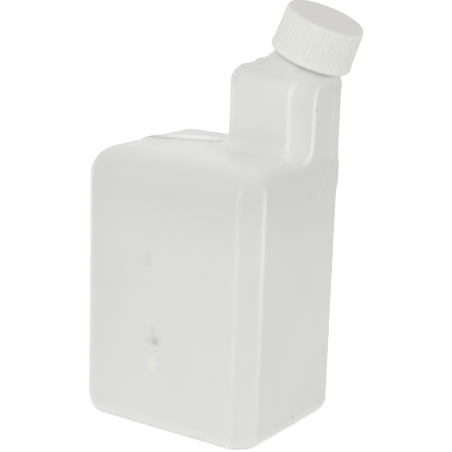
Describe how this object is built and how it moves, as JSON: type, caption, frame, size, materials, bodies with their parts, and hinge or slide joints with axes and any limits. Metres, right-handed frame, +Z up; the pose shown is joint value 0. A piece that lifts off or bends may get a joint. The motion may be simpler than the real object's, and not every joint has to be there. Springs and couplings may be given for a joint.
{
  "type": "fuel mixing bottle",
  "caption": "Blown plastic fuel mixing bottle with a raised measuring section, a leaning threaded neck and a ribbed screw cap.",
  "frame": {"origin": "centre of the body's base, in the plane that the bottle stands on", "axes": "+X along the wide face towards the pouring end, +Y to the back, +Z up"},
  "size_m": [0.116, 0.0892, 0.2127],
  "materials": {
    "bottle_hdpe": "natural translucent white, satin, as blown",
    "cap_polyethylene": "milky white, satin, as injection moulded",
    "liner_foam": "plain white foamed sheet"
  },
  "bodies": {
    "bottle": {"bottle": "bottle_hdpe"},
    "liner": {"sealing_liner": "liner_foam"},
    "cap": {"screw_cap": "cap_polyethylene"}
  },
  "joints": [
    {"name": "cap_lift", "type": "slide", "parent": "bottle", "child": "liner", "axis": [0.3665, 0, 0.9304], "range_m": [0, 0.0063]},
    {"name": "cap_turn", "type": "hinge", "parent": "liner", "child": "cap", "pos_m": [0.036, 0.0254, 0.1803], "axis": [0.3665, 0, 0.9304], "range_deg": [0, 540]}
  ],
  "couplings": [
    {"joint": "cap_lift", "follows": "cap_turn", "m_per_rad": 0.00066845}
  ]
}
